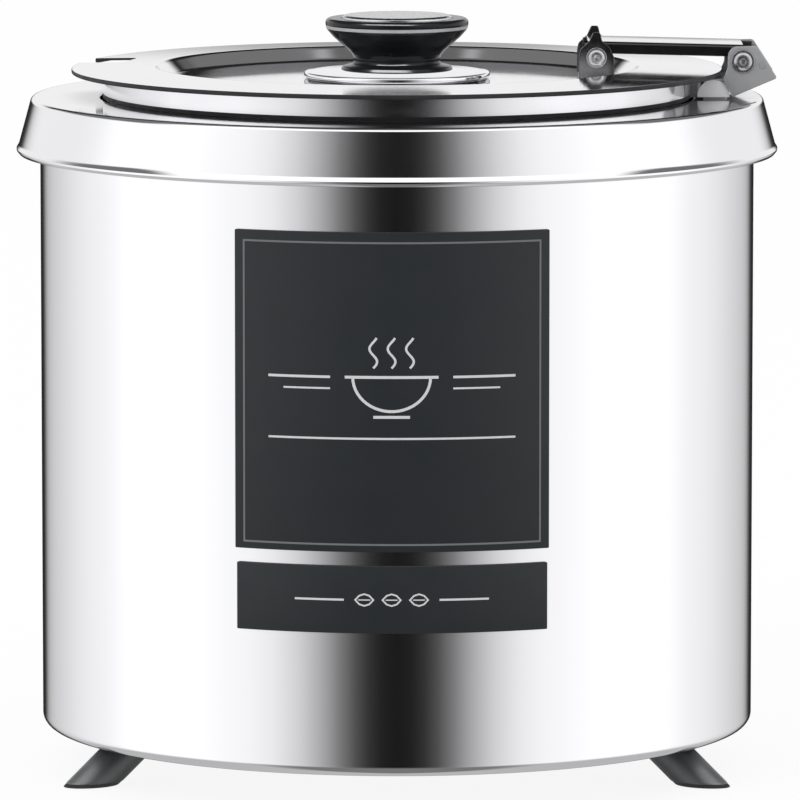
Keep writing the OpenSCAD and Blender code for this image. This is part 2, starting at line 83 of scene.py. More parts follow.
def build_material(name, **settings):
    """A Principled material: noise of the surface's own position gives colour, roughness and relief."""
    s = {
        "colour": (0.5, 0.5, 0.5), "colour_2": None, "metallic": 0.0, "rough": (0.3, 0.4), "noise": 60.0,
        "stretch": (1, 1, 1), "bump": 0.0, "bump_scale": 400.0, "bump_stretch": (1, 1, 1), "coat": 0.0,
        "coat_rough": 0.1, "wear": 0.0, "wear_colour": (0.6, 0.6, 0.6), "specular": 0.5,
        "transmission": 0.0, "grime": 0.0, "grime_reach": 6.0,
    }
    s.update(settings)
    mat = bpy.data.materials.new(name)
    mat.use_nodes = True
    tree = mat.node_tree
    nodes, links = tree.nodes, tree.links
    shader = nodes["Principled BSDF"]
    shader.inputs["Metallic"].default_value = s["metallic"]
    shader.inputs["Specular IOR Level"].default_value = s["specular"]
    shader.inputs["Coat Weight"].default_value = s["coat"]
    shader.inputs["Coat Roughness"].default_value = s["coat_rough"]
    shader.inputs["Transmission Weight"].default_value = s["transmission"]
    place = nodes.new("ShaderNodeTexCoord")

    def noise(scale, stretch, detail=4.0):
        mapping = nodes.new("ShaderNodeMapping")
        mapping.inputs["Scale"].default_value = stretch
        links.new(place.outputs["Object"], mapping.inputs["Vector"])
        tex = nodes.new("ShaderNodeTexNoise")
        tex.inputs["Scale"].default_value = scale
        tex.inputs["Detail"].default_value = detail
        links.new(mapping.outputs["Vector"], tex.inputs["Vector"])
        return tex.outputs["Fac"]

    base = noise(s["noise"], s["stretch"])
    tint = nodes.new("ShaderNodeMix")
    tint.data_type = "RGBA"
    second = s["colour_2"] or tuple(c * 0.86 for c in s["colour"])
    tint.inputs["A"].default_value = (*s["colour"], 1)
    tint.inputs["B"].default_value = (*second, 1)
    links.new(base, tint.inputs["Factor"])
    colour = tint.outputs["Result"]
    # Painted shade: darkens the colour where ambient occlusion finds other surfaces close by, in hollows,
    # under parts and between them; the reach setting is how far it looks, in millimetres.
    if s["grime"]:
        cover = nodes.new("ShaderNodeAmbientOcclusion")
        cover.inputs["Distance"].default_value = s["grime_reach"] * MM
        cover.samples = 6
        darker = nodes.new("ShaderNodeMapRange")
        darker.inputs["From Min"].default_value = 0.15
        darker.inputs["From Max"].default_value = 0.75
        darker.inputs["To Min"].default_value = 1 - s["grime"]
        darker.inputs["To Max"].default_value = 1.0
        links.new(cover.outputs["AO"], darker.inputs["Value"])
        shade = nodes.new("ShaderNodeMix")
        shade.data_type = "RGBA"
        shade.blend_type = "MULTIPLY"
        shade.inputs["Factor"].default_value = 1.0
        links.new(colour, shade.inputs["A"])
        links.new(darker.outputs["Result"], shade.inputs["B"])
        colour = shade.outputs["Result"]
    if s["wear"]:
        edge = nodes.new("ShaderNodeNewGeometry")
        ridge = nodes.new("ShaderNodeMapRange")
        ridge.inputs["From Min"].default_value = 0.52
        ridge.inputs["From Max"].default_value = 0.60
        ridge.inputs["To Max"].default_value = s["wear"]
        links.new(edge.outputs["Pointiness"], ridge.inputs["Value"])
        worn = nodes.new("ShaderNodeMix")
        worn.data_type = "RGBA"
        worn.inputs["B"].default_value = (*s["wear_colour"], 1)
        links.new(ridge.outputs["Result"], worn.inputs["Factor"])
        links.new(colour, worn.inputs["A"])
        colour = worn.outputs["Result"]
    links.new(colour, shader.inputs["Base Color"])
    rough = nodes.new("ShaderNodeMapRange")
    rough.inputs["From Min"].default_value = 0.3
    rough.inputs["From Max"].default_value = 0.7
    rough.inputs["To Min"].default_value, rough.inputs["To Max"].default_value = s["rough"]
    links.new(noise(s["noise"] * 2.3, s["stretch"]), rough.inputs["Value"])
    links.new(rough.outputs["Result"], shader.inputs["Roughness"])
    if s["bump"]:
        bump = nodes.new("ShaderNodeBump")
        bump.inputs["Strength"].default_value = s["bump"]
        bump.inputs["Distance"].default_value = 0.2 * MM
        links.new(noise(s["bump_scale"], s["bump_stretch"], 3.0), bump.inputs["Height"])
        links.new(bump.outputs["Normal"], shader.inputs["Normal"])
    return mat


STEEL = (0.93, 0.93, 0.955)
# In these materials the ambient-occlusion setting paints shade into the colour: darker in hollows, under
# parts and between them.
M = {
    "shell": build_material(
        "polished_shell", colour=STEEL, colour_2=(0.90, 0.90, 0.92), metallic=1, rough=(0.06, 0.085),
        noise=9, stretch=(1, 1, 0.25), bump=0.02, bump_scale=22, bump_stretch=(1, 1, 0.2), grime=0.25),
    # Painted shade: the collar's flat top darkens towards the neck, under the lid's rim.
    "collar": build_material(
        "polished_collar", colour=STEEL, colour_2=(0.90, 0.90, 0.92), metallic=1, rough=(0.06, 0.085),
        noise=14, bump=0.012, bump_scale=30, grime=0.75, grime_reach=24),
    # A near-black sheet for strips where only shade falls: painted shadow on the neck above the collar, on
    # the lid's hem and in the ladle notch.
    "painted_shadow": build_material(
        "painted_shadow_strip", colour=(0.018, 0.018, 0.02), colour_2=(0.03, 0.03, 0.033), rough=(0.4, 0.6),
        noise=60, bump=0.02, bump_scale=500, specular=0.2),
    "lid": build_material(
        "polished_lid", colour=STEEL, colour_2=(0.91, 0.91, 0.93), metallic=1, rough=(0.06, 0.09),
        noise=18, bump=0.012, bump_scale=35, grime=0.35),
    "pot": build_material(
        "satin_pot", colour=(0.90, 0.90, 0.925), metallic=1, rough=(0.09, 0.14), noise=20,
        stretch=(1, 1, 4), bump=0.01, bump_scale=60, grime=0.45),
    # Dark steel for the ears; on the strap's sides and lobes the same dark colour is a painted dark
    # reflection.
    "ear": build_material(
        "dark_steel_and_painted_reflection", colour=(0.07, 0.07, 0.073), colour_2=(0.05, 0.05, 0.053), metallic=0.9,
        rough=(0.16, 0.24), noise=150, bump=0.03, bump_scale=700, wear=0.3, wear_colour=(0.5, 0.5, 0.5),
        grime=0.6),
    "satin": build_material(
        "satin_steel", colour=(0.62, 0.62, 0.63), colour_2=(0.5, 0.5, 0.52), metallic=1,
        rough=(0.3, 0.42), noise=90, stretch=(1, 1, 6), bump=0.08, bump_scale=500,
        bump_stretch=(1, 1, 10), wear=0.4, grime=0.5),
    "arm": build_material(
        "polished_strap", colour=(0.93, 0.93, 0.95), metallic=1, rough=(0.1, 0.15), noise=70,
        stretch=(0.2, 1, 1), bump=0.02, bump_scale=300, bump_stretch=(0.2, 1, 1), grime=0.3),
    # Matt near-white on steel plates: a painted bright reflection on the web's ends.
    "end": build_material(
        "web_end", colour=(0.96, 0.96, 0.97), colour_2=(0.9, 0.9, 0.91), rough=(0.45, 0.55), noise=160,
        bump=0.04, bump_scale=900),
    # Painted highlight: a pale band round the knob's rim, in place of the light caught there.
    "rim_highlight": build_material(
        "painted_knob_highlight", colour=(0.5, 0.5, 0.51), colour_2=(0.42, 0.42, 0.43), metallic=0.3,
        rough=(0.35, 0.45), noise=160, bump=0.04, bump_scale=900),
    "cheek": build_material(
        "zinc_bracket", colour=(0.30, 0.303, 0.312), colour_2=(0.23, 0.232, 0.24), metallic=0.1,
        rough=(0.4, 0.52), noise=110, bump=0.1, bump_scale=900, wear=0.5,
        wear_colour=(0.55, 0.55, 0.56), grime=0.4),
    "fastener": build_material(
        "bright_fastener", colour=(0.6, 0.6, 0.62), metallic=1, rough=(0.26, 0.36), noise=300,
        bump=0.05, bump_scale=1500, wear=0.3, wear_colour=(0.9, 0.9, 0.9), grime=0.6),
    "knob": build_material(
        "phenolic_knob", colour=(0.0055, 0.0062, 0.0078), colour_2=(0.008, 0.0088, 0.011),
        rough=(0.17, 0.22), noise=80, bump=0.03, bump_scale=500, specular=0.25, wear=0.12,
        wear_colour=(0.04, 0.04, 0.045)),
    "inlay": build_material(
        "spun_disc", colour=(0.82, 0.82, 0.83), metallic=1, rough=(0.2, 0.28), noise=260, bump=0.05,
        bump_scale=900, grime=0.3),
    # Painted shade: the legs' sides towards the body, under it, come out darker.
    "foot": build_material(
        "foot_casting", colour=(0.24, 0.25, 0.255), colour_2=(0.29, 0.3, 0.305), metallic=0.7,
        rough=(0.34, 0.42), noise=120, bump=0.04, bump_scale=600, wear=0.2,
        wear_colour=(0.3, 0.3, 0.31), grime=1.0, grime_reach=42),
    "rubber": build_material(
        "pad_rubber", colour=(0.02, 0.02, 0.02), colour_2=(0.035, 0.035, 0.035), rough=(0.6, 0.8),
        noise=400, bump=0.2, bump_scale=1800, specular=0.3),
    "label": build_material(
        "label_vinyl", colour=(0.0128, 0.0162, 0.0184), colour_2=(0.0165, 0.0195, 0.0222),
        rough=(0.42, 0.5), noise=30, bump=0.05, bump_scale=1400, specular=0.35),
    "print": build_material(
        "label_print", colour=(0.56, 0.57, 0.57), colour_2=(0.44, 0.45, 0.46), rough=(0.45, 0.6),
        noise=500, bump=0.03, bump_scale=2000, specular=0.3),
    "print_line": build_material(
        "label_line", colour=(0.135, 0.139, 0.143), colour_2=(0.11, 0.114, 0.118), rough=(0.45, 0.6),
        noise=500, bump=0.03, bump_scale=2000, specular=0.3),
    "wool": build_material(
        "mineral_wool", colour=(0.55, 0.47, 0.25), colour_2=(0.38, 0.32, 0.17), rough=(0.9, 1.0),
        noise=160, bump=0.8, bump_scale=700),
    "cast": build_material(
        "heat_aluminium", colour=(0.6, 0.6, 0.6), colour_2=(0.5, 0.5, 0.5), metallic=1,
        rough=(0.45, 0.6), noise=150, bump=0.25, bump_scale=800),
    "sheath": build_material(
        "element_sheath", colour=(0.16, 0.15, 0.14), colour_2=(0.26, 0.22, 0.18), metallic=0.8,
        rough=(0.4, 0.6), noise=90, bump=0.1, bump_scale=600),
    "brass": build_material(
        "brass", colour=(0.72, 0.52, 0.22), colour_2=(0.6, 0.42, 0.17), metallic=1, rough=(0.25, 0.4),
        noise=200, bump=0.06, bump_scale=900, grime=0.5),
    "ivory": build_material(
        "ivory_plastic", colour=(0.68, 0.62, 0.48), colour_2=(0.62, 0.56, 0.43), rough=(0.4, 0.55),
        noise=70, bump=0.06, bump_scale=700),
    "black": build_material(
        "black_plastic", colour=(0.014, 0.014, 0.015), colour_2=(0.024, 0.024, 0.025),
        rough=(0.3, 0.42), noise=150, bump=0.1, bump_scale=1200, wear=0.2,
        wear_colour=(0.08, 0.08, 0.08)),
    "lens": build_material(
        "amber_lens", colour=(0.85, 0.28, 0.03), colour_2=(0.75, 0.2, 0.02), rough=(0.12, 0.18),
        noise=90, bump=0.04, bump_scale=500, coat=0.6, transmission=0.4),
}


# ---------------------------------------------------------------- shape tools

def rounded(corners, closed=True):
    """Corners are (a, b) or (a, b, radius); every corner with a radius becomes an arc."""
    points = []
    count = len(corners)
    for i, corner in enumerate(corners):
        here = Vector(corner[:2])
        radius = corner[2] if len(corner) > 2 else 0
        if not radius or (not closed and i in (0, count - 1)):
            points.append(tuple(here))
            continue
        back = (Vector(corners[i - 1][:2]) - here).normalized()
        ahead = (Vector(corners[(i + 1) % count][:2]) - here).normalized()
        half = back.angle(ahead) / 2
        centre = here + (back + ahead).normalized() * radius / math.sin(half)
        first = here + back * radius / math.tan(half) - centre
        last = here + ahead * radius / math.tan(half) - centre
        turn = first.angle_signed(last)
        steps = max(2, math.ceil(abs(turn) / math.radians(11)))
        start = math.atan2(first.y, first.x)
        for k in range(steps + 1):
            angle = start - turn * k / steps
            points.append((centre.x + radius * math.cos(angle), centre.y + radius * math.sin(angle)))
    return points


def supported(points, closed=True, reach=0.4):
    """Adds a point just inside each end of every long straight run, which keeps its smooth shading flat."""
    out = []
    count = len(points)
    for i in range(count):
        out.append(points[i])
        if i == count - 1 and not closed:
            break
        a, b = Vector(points[i]), Vector(points[(i + 1) % count])
        length = (b - a).length
        if length > 5 * reach:
            step = (b - a) / length * reach
            out += [tuple(a + step), tuple(b - step)]
    return out


def skin(bm, loops, closed=False):
    """Joins a row of vertex loops with faces, then joins the last to the first or caps both ends."""
    for a, b in zip(loops, loops[1:] + loops[:1] if closed else loops[1:]):
        for k in range(len(a)):
            j = (k + 1) % len(a)
            bm.faces.new((a[k], a[j], b[j], b[k]))
    if not closed:
        bm.faces.new(list(reversed(loops[0])))
        bm.faces.new(loops[-1])


def finish_mesh(name, bm, material):
    """Turns a bmesh into a smooth-shaded object of one material with its sharp edges marked."""
    bmesh.ops.remove_doubles(bm, verts=bm.verts, dist=1e-7)
    bmesh.ops.recalc_face_normals(bm, faces=bm.faces)
    mesh = bpy.data.meshes.new(name)
    bm.to_mesh(mesh)
    bm.free()
    for face in mesh.polygons:
        face.use_smooth = True
    mesh.set_sharp_from_angle(angle=SHARP)
    mesh.materials.append(material)
    obj = bpy.data.objects.new(name, mesh)
    bpy.context.scene.collection.objects.link(obj)
    return obj


def frame_to(origin, axis):
    """The matrix that takes +Z to an axis and the origin to a point in millimetres."""
    turn = Z.rotation_difference(Vector(axis).normalized()).to_matrix().to_4x4()
    return Matrix.Translation(Vector(origin) * MM) @ turn


def lathe(name, profile, material, origin=(0, 0, 0), axis=(0, 0, 1), segments=SEGMENTS, radius_at=None):
    """A closed profile of (radius, height) in millimetres, turned around an axis."""
    bm = bmesh.new()
    rings = []
    for r, h in profile:
        if abs(r) < 1e-6:
            rings.append([bm.verts.new((0, 0, h * MM))])
            continue
        ring = []
        for k in range(segments):
            angle = FULL_TURN * k / segments
            scale = radius_at(angle, h) if radius_at else 1.0
            x, y = r * scale * math.cos(angle), r * scale * math.sin(angle)
            ring.append(bm.verts.new((x * MM, y * MM, h * MM)))
        rings.append(ring)
    for i, low in enumerate(rings):
        high = rings[(i + 1) % len(rings)]
        if len(low) == 1 and len(high) == 1:
            continue
        for k in range(segments):
            k2 = (k + 1) % segments
            if len(low) == 1:
                bm.faces.new((low[0], high[k2], high[k]))
            elif len(high) == 1:
                bm.faces.new((low[k], low[k2], high[0]))
            else:
                bm.faces.new((low[k], low[k2], high[k2], high[k]))
    bm.transform(frame_to(origin, axis))
    return finish_mesh(name, bm, material)


def plate(name, outline, thickness, material, place, edge=0.3):
    """An outline in millimetres, thickened along its own +Z and chamfered, then put in place by a matrix."""
    bm = bmesh.new()
    front = [bm.verts.new((a * MM, b * MM, thickness * MM)) for a, b in outline]
    rear = [bm.verts.new((a * MM, b * MM, 0)) for a, b in outline]
    caps = [bm.faces.new(front), bm.faces.new(list(reversed(rear)))]
    count = len(outline)
    for i in range(count):
        j = (i + 1) % count
        bm.faces.new((rear[i], rear[j], front[j], front[i]))
    bmesh.ops.recalc_face_normals(bm, faces=bm.faces)
    if edge:
        rims = [e for e in bm.edges if any(f in caps for f in e.link_faces)]
        bmesh.ops.bevel(bm, geom=rims, offset=edge * MM, segments=2, profile=0.6, affect="EDGES",
                        clamp_overlap=True)
    bm.transform(place)
    obj = finish_mesh(name, bm, material)
    facing = (place.to_3x3() @ Z).normalized()
    for face in obj.data.polygons:
        face.use_smooth = abs(face.normal.dot(facing)) < 0.999
    return obj


def on_y(x, y, z):
    """Takes a plate drawn in (x, z) to world space with its thickness running towards -Y from y."""
    return Matrix(((1, 0, 0, x * MM), (0, 0, -1, y * MM), (0, 1, 0, z * MM), (0, 0, 0, 1)))


def join(name, parts):
    """Merges objects into the first one and renames it."""
    bpy.ops.object.select_all(action="DESELECT")
    for part in parts:
        part.select_set(True)
    bpy.context.view_layer.objects.active = parts[0]
    bpy.ops.object.join()
    parts[0].name = name
    parts[0].data.name = name
    return parts[0]


def subtract(obj, cutter):
    """Cuts one object out of another, keeps the result as plain mesh and removes the cutter."""
    cut = obj.modifiers.new("cut", "BOOLEAN")
    cut.operation = "DIFFERENCE"
    cut.solver = "EXACT"
    cut.object = cutter
    graph = bpy.context.evaluated_depsgraph_get()
    mesh = bpy.data.meshes.new_from_object(obj.evaluated_get(graph))
    obj.modifiers.clear()
    obj.data = mesh
    bpy.data.objects.remove(cutter)
    for face in mesh.polygons:
        face.use_smooth = True
    mesh.set_sharp_from_angle(angle=SHARP)
    return obj


def band(obj, material, radii, heights):
    """Gives a turned piece's faces between two radii and two heights, in millimetres, another material."""
    obj.data.materials.append(material)
    for face in obj.data.polygons:
        r, h = math.hypot(face.center.x, face.center.y) / MM, face.center.z / MM
        if radii[0] < r < radii[1] and heights[0] < h < heights[1]:
            face.material_index = len(obj.data.materials) - 1


def piece(obj, body, slot, *nodes):
    """Hands a visible piece over: the body it rides on and the nodes it stands for. The slot argument is not
    used.
    """
    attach(obj, body)
    if nodes:
        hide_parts(*nodes)
    return obj


def radial(azimuth, radius, height):
    """A point around the upright axis, in millimetres, and the direction that leads outwards through it."""
    angle = math.radians(azimuth)
    return (radius * math.cos(angle), radius * math.sin(angle), height), (math.cos(angle), math.sin(angle), 0)


def drill(obj, azimuth, height, hole):
    """Cuts a round hole of a given radius through the body's wall."""
    start, length = 147, 30            # from well inside the wall to outside the control plate
    origin, axis = radial(azimuth, start, height)
    profile = [(0, 0), (hole, 0), (hole, length), (0, length)]
    subtract(obj, lathe("cutter", profile, obj.data.materials[0], origin, axis, 48))


def wrapped(radius, along, height, centre=-90.0):
    """The point at a distance along a cylinder's face from its centre line, in metres."""
    angle = math.radians(centre) + along / radius
    return Vector((radius * math.cos(angle), radius * math.sin(angle), height)) * MM


def curved_plate(name, r_in, r_out, width, z0, z1, corner, material, centre=-90.0, edge=0.25):
    """A rectangular sheet bent round the body, with rounded corners and a soft front edge."""
    bm = bmesh.new()
    half = width / 2
    near = [half - corner * (1 - math.cos(math.radians(a))) for a in range(90, -1, -10)]
    steps = 72
    flat = [(-half + corner) + (width - 2 * corner) * k / steps for k in range(1, steps)]
    stations = sorted({round(v, 4) for v in [-s for s in near] + flat + near})
    loops = []
    for s in stations:
        past = min(max(abs(s) - (half - corner), 0), corner)
        drop = corner - math.sqrt(max(corner ** 2 - past ** 2, 0))
        column = []
        for r, inset in ((r_in, 0), (r_out - edge, 0), (r_out - edge * 0.3, edge * 0.35), (r_out, edge)):
            along = max(-half + inset, min(half - inset, s))
            column.append((r, along, z0 + drop + inset, z1 - drop - inset))
        low = [bm.verts.new(wrapped(r, a * r / r_out, lo, centre)) for r, a, lo, hi in column]
        high = [bm.verts.new(wrapped(r, a * r / r_out, hi, centre)) for r, a, lo, hi in column]
        loops.append(low + list(reversed(high)))
    skin(bm, loops)
    return finish_mesh(name, bm, material)


def ribbon(bm, points, width, radius, thickness=0.12, centre=-90.0, closed=False):
    """A printed line through (along, height) points on a cylinder's face."""
    count = len(points)
    path = [Vector(p) for p in points]
    rails = []
    for i, p in enumerate(path):
        before = path[i - 1] if closed or i else p
        after = path[(i + 1) % count] if closed or i < count - 1 else p
        run = (after - before).normalized()
        side = Vector((-run.y, run.x))
        if closed or 0 < i < count - 1:
            a, b = (p - before).normalized(), (after - p).normalized()
            bend = max(math.cos(a.angle(b) / 2), 0.5)
            side /= bend
        inner, outer = p - side * width / 2, p + side * width / 2
        rails.append([bm.verts.new(wrapped(r, q.x, q.y, centre)) for r, q in (
            (radius, inner), (radius, outer), (radius + thickness, outer), (radius + thickness, inner))])
    skin(bm, rails, closed)


def straight(a, b, step=3.0):
    """Points along a straight line, close enough together to follow the body's curve."""
    n = max(2, int((Vector(b) - Vector(a)).length / step))
    return [tuple(Vector(a).lerp(Vector(b), k / n)) for k in range(n + 1)]


def arc(cx, cy, r, start, end, ry=None):
    """Points along an arc from one angle to another, in degrees; ry makes it an ellipse."""
    n = max(6, int(abs(end - start) / 7))
    ry = r if ry is None else ry
    return [(cx + r * math.cos(math.radians(start + (end - start) * k / n)),
             cy + ry * math.sin(math.radians(start + (end - start) * k / n))) for k in range(n + 1)]


# ---------------------------------------------------------------- body

shell = lathe("shell_sheet", supported(rounded([
    (150, BODY_Z, 0.3), (SHELL_R, BODY_Z, 5), (SHELL_R, BODY_TOP, 0.3), (SHELL_R - WALL, BODY_TOP, 0.3),
    (SHELL_R - WALL, BODY_Z + WALL, 4), (150, BODY_Z + WALL, 0.3)])), M["shell"])
for hole in (DIAL_HOLE, LAMP_HOLE, GLAND_HOLE):
    drill(shell, *hole)
piece(shell, "base", "shell_steel", "outer_shell", "base_pan")

bm = bmesh.new()
ribbon(bm, straight((0, 26), (0, COLLAR_FOOT), 4), 1.3, SHELL_R - 0.02, 0.14, centre=58)
seam = finish_mesh("shell_seam", bm, M["satin"])
piece(seam, "base", "shell_steel")

collar = lathe("collar_pressing", supported(rounded([
    (134.5, COLLAR_Z, 1.0), (165.7, COLLAR_Z, 2.2), (171.5, 284.9, 3), (172.5, 283.3), (172.5, 282.4, 0.4),
    (171.4, COLLAR_FOOT, 0.5), (169.9, COLLAR_FOOT, 0.3), (169.3, 284.9, 2), (164.7, COLLAR_Z - WALL, 1.2),
    (135.5, COLLAR_Z - WALL, 0.4), (135.5, 297, 0.4), (129.3, 297, 0.3), (129.3, 298, 0.3),
    (134.5, 298, 0.3)]), reach=0.3), M["collar"])
piece(collar, "base", "collar_steel", "collar_ring")

well = lathe("water_bath", supported(rounded([
    (0, 78), (141, 78, 12), (141, 299, 1), (158.8, 299, 0.3), (158.8, 300, 0.3), (140, 300, 1), (140, 79, 11),
    (0, 79)], closed=False), closed=False), M["pot"])
piece(well, "base", "shell_steel", "water_well")

pot = lathe("pot_spinning", supported(rounded([
    (0, 101), (127.7, 101, 18), (127.7, 298.3, 0.8), (NECK_R, 298.3, 0.9), (NECK_R, COLLAR_Z),
    (NECK_R, SHADOW_BAND_TOP), (NECK_R, NECK_TOP, 0.45), (132.3, NECK_TOP, 0.45), (132.3, 299.3, 0.8),
    (126.7, 299.3, 0.8), (126.7, 102, 17), (0, 102)], closed=False), closed=False), M["pot"])
# Painted shadow: a near-black band round the flat neck just above the collar.
band(pot, M["painted_shadow"], (NECK_R - 0.2, NECK_R + 0.2), (COLLAR_Z, SHADOW_BAND_TOP))
piece(pot, "pot", "pot_steel", "inner_pot")


# ---------------------------------------------------------------- feet

FOOT_R, FOOT_TOP_R, FOOT_HALF = 150.5, 128.0, 8.75
FOOT_RISE = 19.5
PAD_Z = 1.5                        # height of the pads
FOOT_LEAN = math.atan2(FOOT_R - FOOT_TOP_R, FOOT_RISE)
FOOT_LONG = FOOT_HALF / math.cos(FOOT_LEAN)
FOOT_STEPS = 96


def leaning_stack(levels):
    """A solid of level ellipses along a foot's leaning axis, each (z, half length, half width)."""
    bm = bmesh.new()
    rings = []
    for z, long, short in levels:
        centre = FOOT_R - (FOOT_R - FOOT_TOP_R) * (z - PAD_Z) / FOOT_RISE
        angles = [FULL_TURN * k / FOOT_STEPS for k in range(FOOT_STEPS)]
        rings.append([bm.verts.new(((centre + long * math.cos(a)) * MM, short * math.sin(a) * MM, z * MM))
                      for a in angles])
    skin(bm, rings)
    return bm


def make_foot(name, azimuth):
    """A splayed leg with the flange under the body that carries it, turned to its place."""
    scales = ((PAD_Z, 0.95), (1.56, 0.975), (1.75, 0.992), (2.1, 1), (2.6, 1), (8, 1), (14, 1), (20.9, 1))
    leg = finish_mesh(name, leaning_stack([(z, FOOT_LONG * k, FOOT_HALF * k) for z, k in scales]), M["foot"])
    flange = lathe("flange", rounded([(0, 18.2), (13, 18.2, 0.5), (13, 20.9, 0.4), (0, 20.9)], closed=False),
                   M["foot"], (FOOT_TOP_R, 0, 0), segments=72)
    foot = join(name, [leg, flange])
    foot.data.transform(Matrix.Rotation(math.radians(azimuth), 4, "Z"))
    return foot


def make_pad(azimuth):
    """The rubber pad under a leg."""
    insets = ((0, 0.9), (0.12, 0.55), (0.4, 0.35), (1.4, 0.3), (PAD_Z, 0.35))
    bm = leaning_stack([(z, FOOT_LONG - inset, FOOT_HALF - inset) for z, inset in insets])
    bm.transform(Matrix.Rotation(math.radians(azimuth), 4, "Z"))
    return finish_mesh("pad", bm, M["rubber"])


for key, azimuth in FOOT_AZIMUTHS.items():
    piece(make_foot("leg_" + key, azimuth), "base", "foot_phenolic", "foot_" + key)
piece(join("grip_pads", [make_pad(a) for a in FOOT_AZIMUTHS.values()]), "base", "pad_rubber", "foot_pads")


# ---------------------------------------------------------------- lid

lid = lathe("lid_pressing", supported(rounded([
    (STUD_HOLE, RECESS_Z), (RECESS_R, RECESS_Z, 2.8), (CREST_R, CREST_Z, 3.4), (LID_R, LID_Z, 0.6),
    (LID_R, LID_Z - 0.7), (LID_R, LID_Z - 2, 0.6), (LID_R - 2, LID_Z - 2, 0.3), (LID_R - 2.2, LID_Z - 1.05),
    (CREST_R + 0.4, CREST_Z - 1, 2.4), (RECESS_R + 0.6, RECESS_Z - 1, 3.8), (STUD_HOLE, RECESS_Z - 1)])),
    M["lid"])
# Painted shadow: the lid's hem gets the near-black sheet, a dark line all round the rim.
band(lid, M["painted_shadow"], (LID_R - 0.62, LID_R + 0.5), (LID_Z - 2.1, LID_Z - 0.05))
notch = rounded([(0, -NOTCH_HALF, 5), (30, -NOTCH_HALF), (30, NOTCH_HALF), (0, NOTCH_HALF, 5)])
under_lid = Matrix.Translation(Vector((NOTCH_R, 0, 310)) * MM)
turned = Matrix.Rotation(math.radians(NOTCH_AZIMUTH), 4, "Z") @ under_lid
subtract(lid, plate("cutter", notch, 15, M["lid"], turned, edge=0))
# Painted shadow: the upright walls of the ladle notch get the near-black sheet.
outward = Vector(radial(NOTCH_AZIMUTH, 0, 0)[1])
for face in lid.data.polygons:
    reach = face.center.dot(outward) / MM
    if abs(face.normal.z) < 0.3 and face.center.z > (LID_Z - 3) * MM and NOTCH_R - 1 < reach < LID_R - 1:
        face.material_index = 1
piece(lid, "lid", "lid_steel", "lid_shell")

saucer = lathe("saucer_washer", supported(rounded([
    (STUD_HOLE, 314.05), (40.8, 314.05, 0.6), (42.4, 315.3, 1.3), (41.9, 317.3, 0.9), (38.5, 317.6, 3),
    (26.5, 318.0, 0.5), (STUD_HOLE, 318.0)]), reach=0.2), M["lid"])
piece(saucer, "lid", "knob_disc", "knob_saucer")

knob = lathe("knob_turning", supported(rounded([
    (0, 318.02), (25.5, 318.02, 0.4), (24.4, 319.9, 0.8), (20.1, 321.0, 1.2), (19.6, 322.2, 1),
    (19.6, 323.7, 1.2), (20.5, 325.4, 2), (22.2, 327.3, 3), (25.4, 330.0, 4), (28.9, 333.2, 4),
    (31.4, 336.0, 2), (32.1, 337.1), (32.3, 338.4), (32.4, 339.3, 1.0), (32.2, 341.6, 2.0),
    (25.4, 341.6, 0.2), (25.2, 341.2), (0, 341.2)],
    closed=False), closed=False, reach=0.2), M["knob"])
# Painted highlight: the pale band just below the knob's top edge.
band(knob, M["rim_highlight"], (31.9, 32.6), (337.0, 338.5))
knob.visible_glossy = False
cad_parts["knob_stud"].visible_glossy = False
piece(knob, "lid", "knob_phenolic", "knob_body")

disc = lathe("knob_disc_top", supported(rounded([
    (0, 341.25), (25.0, 341.25, 0.2), (24.9, 342.2, 0.4), (23.4, 342.9, 1.2), (0, 343.0)], closed=False),
    closed=False, reach=0.2), M["inlay"])
piece(disc, "lid", "knob_disc", "knob_inlay")

ear_outline = rounded([
    (-8, 0, 0.5), (8, 0, 0.5), (8, 11, 2.5), (6.1, 15.6, 2.5), (2.5, 18.6, 1.2), (1.6, 22.4, 1.0),
    (-1.6, 22.4, 1.2), (-3.4, 18.3, 1.5), (-7.4, 14.5, 2.5), (-8, 11, 2)])
ears = [plate("ear", ear_outline, HINGE_SHEET, M["ear"], on_y(EAR[0], y, RECESS_Z), edge=0.35)
        for y in (-18.8, 20.4)]
foot_outline = rounded([(-8, -19.2, 1.2), (8, -19.2, 1.2), (8, 19.2, 1.2), (-8, 19.2, 1.2)])
ears.append(plate("ear_foot", foot_outline, HINGE_SHEET, M["ear"],
                  Matrix.Translation(Vector((EAR[0], 0, RECESS_Z + 0.02)) * MM), edge=0.3))
piece(join("lid_ears", ears), "lid", "hinge_steel", "ear_bracket")


def rivet(r, head_r, head_h, shank):
    """A rivet or pin end: a domed head with the small dimple left by setting it, standing on z = 0."""
    dome = ((1, 0), (1, 0.3), (0.94, 0.62), (0.78, 0.9), (0.6, 1), (0.42, 1), (0.36, 0.78), (0.2, 0.66),
            (0, 0.64))
    return [(0, -shank), (r, -shank), (r, 0)] + [(head_r * a, head_h * b) for a, b in dome]


def pin_with_heads(name, x, z, reach, r, head_r, head_h):
    """The two ends of a pin along Y, whose heads start at a distance of reach from the middle."""
    profile = rivet(r, head_r, head_h, reach)
    ends = [lathe("end", profile, M["fastener"], (x, side * reach, z), (0, side, 0), 64) for side in (-1, 1)]
    return join(name, ends)


def washer_pair(name, x, z, y, r_in, r_out, thick):
    """Two washers on a pin along Y, one on each side, starting at y and -y."""
    profile = rounded([(r_in, 0, 0.1), (r_out, 0, 0.15), (r_out, thick, 0.25), (r_in, thick, 0.15)])
    rings = [lathe("ring", profile, M["fastener"], (x, side * y, z), (0, side, 0), 64) for side in (-1, 1)]
    return join(name, rings)


